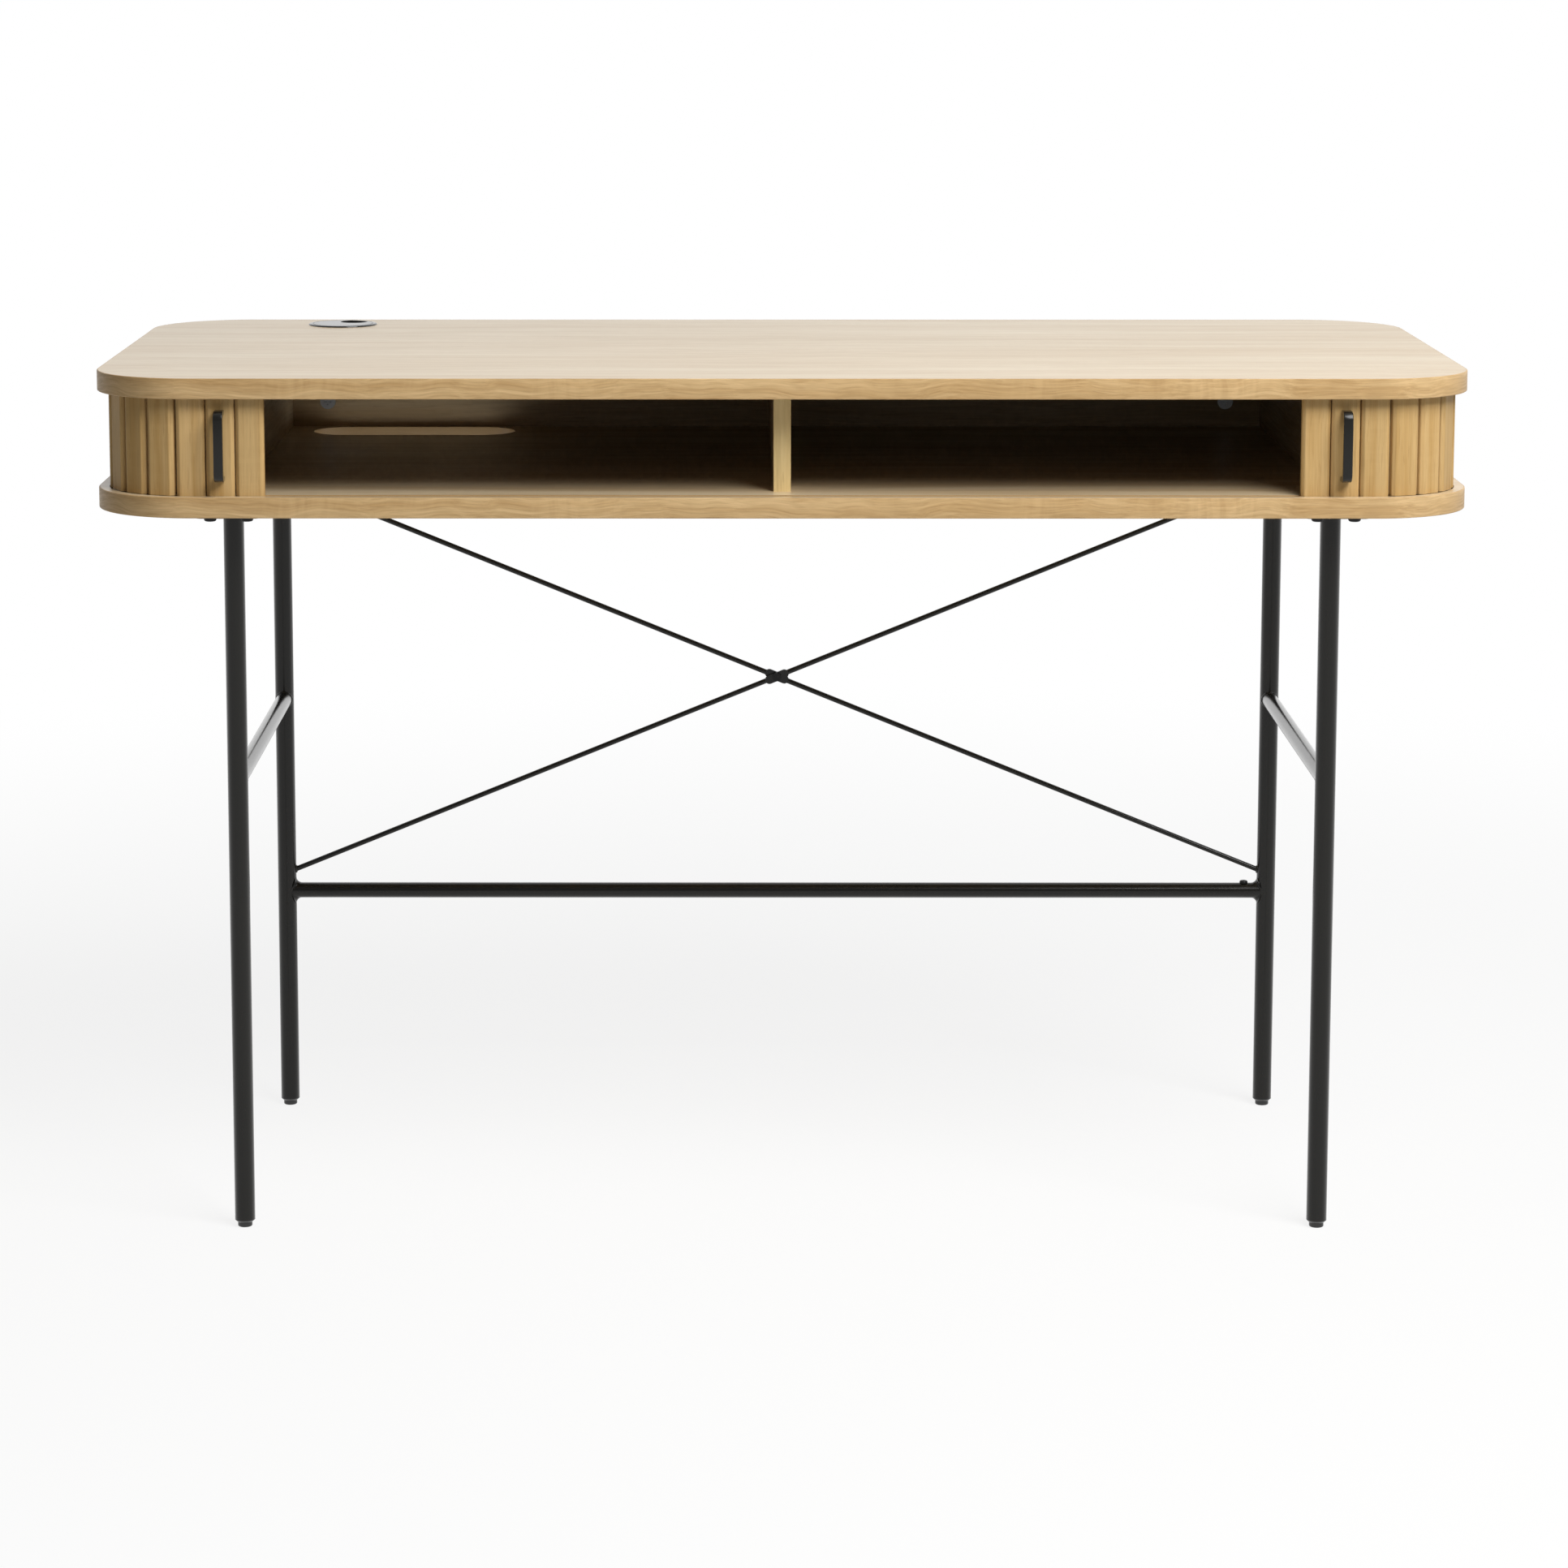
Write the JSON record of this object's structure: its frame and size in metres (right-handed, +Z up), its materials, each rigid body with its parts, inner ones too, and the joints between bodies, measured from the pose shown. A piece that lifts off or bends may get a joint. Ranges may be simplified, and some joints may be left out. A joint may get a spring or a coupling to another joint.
{
  "type": "tambour desk",
  "caption": "Writing desk with an oak cabinet top, slatted curtain doors that slide round its rounded corners, and a slim black tube frame with crossed brace rods.",
  "frame": {"origin": "on the floor under the middle of the top board", "axes": "+X to the right of someone who sits at the desk, +Y to the back, +Z up"},
  "size_m": [1.2, 0.5555, 0.7664],
  "materials": {
    "oak_top": "pale oak veneer, matt lacquer",
    "oak_edge": "oak edge band, matt lacquer",
    "oak_slat": "solid oak, matt lacquer",
    "beech": "raw beech",
    "backing_cloth": "woven canvas",
    "black_steel": "satin black powder coat",
    "black_screws": "black oxide",
    "zinc": "zinc plated",
    "grommet_plastic": "moulded"
  },
  "bodies": {
    "desk": {"desk_top": "oak_top", "base_panel": "oak_top", "back_panel": "oak_top", "left_inner_wall": "oak_top", "right_inner_wall": "oak_top", "centre_divider": "oak_top", "top_edge_band": "oak_edge", "base_edge_band": "oak_edge", "dowels": "beech", "cam_locks": "zinc", "cam_bolts": "zinc", "plate_inserts": "zinc", "grommet_ring": "grommet_plastic", "foot_plugs": "grommet_plastic", "front_left_leg": "black_steel", "front_right_leg": "black_steel", "rear_left_leg": "black_steel", "rear_right_leg": "black_steel", "leg_plates": "black_steel", "left_stretcher": "black_steel", "right_stretcher": "black_steel", "rear_rail": "black_steel", "left_rail_stub": "black_steel", "right_rail_stub": "black_steel", "rail_dowels": "black_steel", "rising_brace_rod": "black_steel", "falling_brace_rod": "black_steel", "plate_screws": "black_screws", "rail_screws": "black_screws", "brace_bolt": "black_screws"},
    "grommet_lid": {"grommet_cap": "grommet_plastic"},
    "front_left_level": {"front_left_foot": "grommet_plastic"},
    "front_right_level": {"front_right_foot": "grommet_plastic"},
    "rear_left_level": {"rear_left_foot": "grommet_plastic"},
    "rear_right_level": {"rear_right_foot": "grommet_plastic"},
    "left_lead": {"left_front_slats": "oak_slat", "left_front_cloth": "backing_cloth", "left_handle": "black_steel", "left_handle_screws": "zinc"},
    "left_side": {"left_side_slats": "oak_slat", "left_side_cloth": "backing_cloth"},
    "left_turn": {"left_turn_slat": "oak_slat"},
    "left_rear": {"left_rear_slats": "oak_slat"},
    "left_corner_1": {"left_corner_slat_1": "oak_slat"},
    "left_corner_2": {"left_corner_slat_2": "oak_slat"},
    "left_corner_3": {"left_corner_slat_3": "oak_slat"},
    "left_corner_4": {"left_corner_slat_4": "oak_slat"},
    "right_lead": {"right_front_slats": "oak_slat", "right_front_cloth": "backing_cloth", "right_handle": "black_steel", "right_handle_screws": "zinc"},
    "right_side": {"right_side_slats": "oak_slat", "right_side_cloth": "backing_cloth"},
    "right_turn": {"right_turn_slat": "oak_slat"},
    "right_rear": {"right_rear_slats": "oak_slat"},
    "right_corner_1": {"right_corner_slat_1": "oak_slat"},
    "right_corner_2": {"right_corner_slat_2": "oak_slat"},
    "right_corner_3": {"right_corner_slat_3": "oak_slat"},
    "right_corner_4": {"right_corner_slat_4": "oak_slat"}
  },
  "joints": [
    {"name": "grommet_lid_turn", "type": "hinge", "parent": "desk", "child": "grommet_lid", "pos_m": [-0.421, 0.222, 0.765], "axis": [0, 0, 1], "continuous": true},
    {"name": "front_left_foot_turn", "type": "hinge", "parent": "desk", "child": "front_left_level", "pos_m": [-0.478, -0.227, 0.0045], "axis": [0, 0, 1], "continuous": true},
    {"name": "front_right_foot_turn", "type": "hinge", "parent": "desk", "child": "front_right_level", "pos_m": [0.478, -0.227, 0.0045], "axis": [0, 0, 1], "continuous": true},
    {"name": "rear_left_foot_turn", "type": "hinge", "parent": "desk", "child": "rear_left_level", "pos_m": [-0.478, 0.1745, 0.0045], "axis": [0, 0, 1], "continuous": true},
    {"name": "rear_right_foot_turn", "type": "hinge", "parent": "desk", "child": "rear_right_level", "pos_m": [0.478, 0.1745, 0.0045], "axis": [0, 0, 1], "continuous": true},
    {"name": "left_door_slide", "type": "slide", "parent": "desk", "child": "left_lead", "axis": [1, 0, 0], "range_m": [0, 0.44625]},
    {"name": "left_side_fold", "type": "hinge", "parent": "desk", "child": "left_side", "pos_m": [-0.34397, -0.01897, 0.7045], "axis": [0, 0, 1], "range_deg": [0, 90]},
    {"name": "left_corner_4_fold", "type": "hinge", "parent": "left_side", "child": "left_corner_4", "pos_m": [-0.58253, -0.1911, 0.7045], "axis": [0, 0, -1], "range_deg": [0, 9.61]},
    {"name": "left_corner_3_fold", "type": "hinge", "parent": "left_corner_4", "child": "left_corner_3", "pos_m": [-0.57881, -0.20959, 0.7045], "axis": [0, 0, -1], "range_deg": [0, 20.1]},
    {"name": "left_corner_2_fold", "type": "hinge", "parent": "left_corner_3", "child": "left_corner_2", "pos_m": [-0.56618, -0.23173, 0.7045], "axis": [0, 0, -1], "range_deg": [0, 20.1]},
    {"name": "left_corner_1_fold", "type": "hinge", "parent": "left_corner_2", "child": "left_corner_1", "pos_m": [-0.5467, -0.24819, 0.7045], "axis": [0, 0, -1], "range_deg": [0, 20.1]},
    {"name": "left_turn_fold", "type": "hinge", "parent": "left_side", "child": "left_turn", "pos_m": [-0.58251, 0.15343, 0.7045], "axis": [0, 0, -1], "range_deg": [0, 10.05]},
    {"name": "left_rear_fold", "type": "hinge", "parent": "left_turn", "child": "left_rear", "pos_m": [-0.58197, 0.1724, 0.7045], "axis": [0, 0, -1], "range_deg": [0, 19.86]},
    {"name": "right_door_slide", "type": "slide", "parent": "desk", "child": "right_lead", "axis": [-1, 0, 0], "range_m": [0, 0.44625]},
    {"name": "right_side_fold", "type": "hinge", "parent": "desk", "child": "right_side", "pos_m": [0.34397, -0.01897, 0.7045], "axis": [0, 0, -1], "range_deg": [0, 90]},
    {"name": "right_corner_4_fold", "type": "hinge", "parent": "right_side", "child": "right_corner_4", "pos_m": [0.58253, -0.1911, 0.7045], "axis": [0, 0, 1], "range_deg": [0, 9.61]},
    {"name": "right_corner_3_fold", "type": "hinge", "parent": "right_corner_4", "child": "right_corner_3", "pos_m": [0.57881, -0.20959, 0.7045], "axis": [0, 0, 1], "range_deg": [0, 20.1]},
    {"name": "right_corner_2_fold", "type": "hinge", "parent": "right_corner_3", "child": "right_corner_2", "pos_m": [0.56618, -0.23173, 0.7045], "axis": [0, 0, 1], "range_deg": [0, 20.1]},
    {"name": "right_corner_1_fold", "type": "hinge", "parent": "right_corner_2", "child": "right_corner_1", "pos_m": [0.5467, -0.24819, 0.7045], "axis": [0, 0, 1], "range_deg": [0, 20.1]},
    {"name": "right_turn_fold", "type": "hinge", "parent": "right_side", "child": "right_turn", "pos_m": [0.58251, 0.15343, 0.7045], "axis": [0, 0, 1], "range_deg": [0, 10.05]},
    {"name": "right_rear_fold", "type": "hinge", "parent": "right_turn", "child": "right_rear", "pos_m": [0.58197, 0.1724, 0.7045], "axis": [0, 0, 1], "range_deg": [0, 19.86]}
  ],
  "couplings": [
    {"joint": "left_side_fold", "follows": "left_door_slide", "rad_per_m": 3.52},
    {"joint": "left_corner_4_fold", "follows": "left_door_slide", "rad_per_m": 0.37595},
    {"joint": "left_corner_3_fold", "follows": "left_door_slide", "rad_per_m": 0.78601},
    {"joint": "left_corner_2_fold", "follows": "left_door_slide", "rad_per_m": 0.78601},
    {"joint": "left_corner_1_fold", "follows": "left_door_slide", "rad_per_m": 0.78601},
    {"joint": "left_turn_fold", "follows": "left_door_slide", "rad_per_m": 0.393},
    {"joint": "left_rear_fold", "follows": "left_door_slide", "rad_per_m": 0.77667},
    {"joint": "right_side_fold", "follows": "right_door_slide", "rad_per_m": 3.52},
    {"joint": "right_corner_4_fold", "follows": "right_door_slide", "rad_per_m": 0.37595},
    {"joint": "right_corner_3_fold", "follows": "right_door_slide", "rad_per_m": 0.78601},
    {"joint": "right_corner_2_fold", "follows": "right_door_slide", "rad_per_m": 0.78601},
    {"joint": "right_corner_1_fold", "follows": "right_door_slide", "rad_per_m": 0.78601},
    {"joint": "right_turn_fold", "follows": "right_door_slide", "rad_per_m": 0.393},
    {"joint": "right_rear_fold", "follows": "right_door_slide", "rad_per_m": 0.77667}
  ]
}
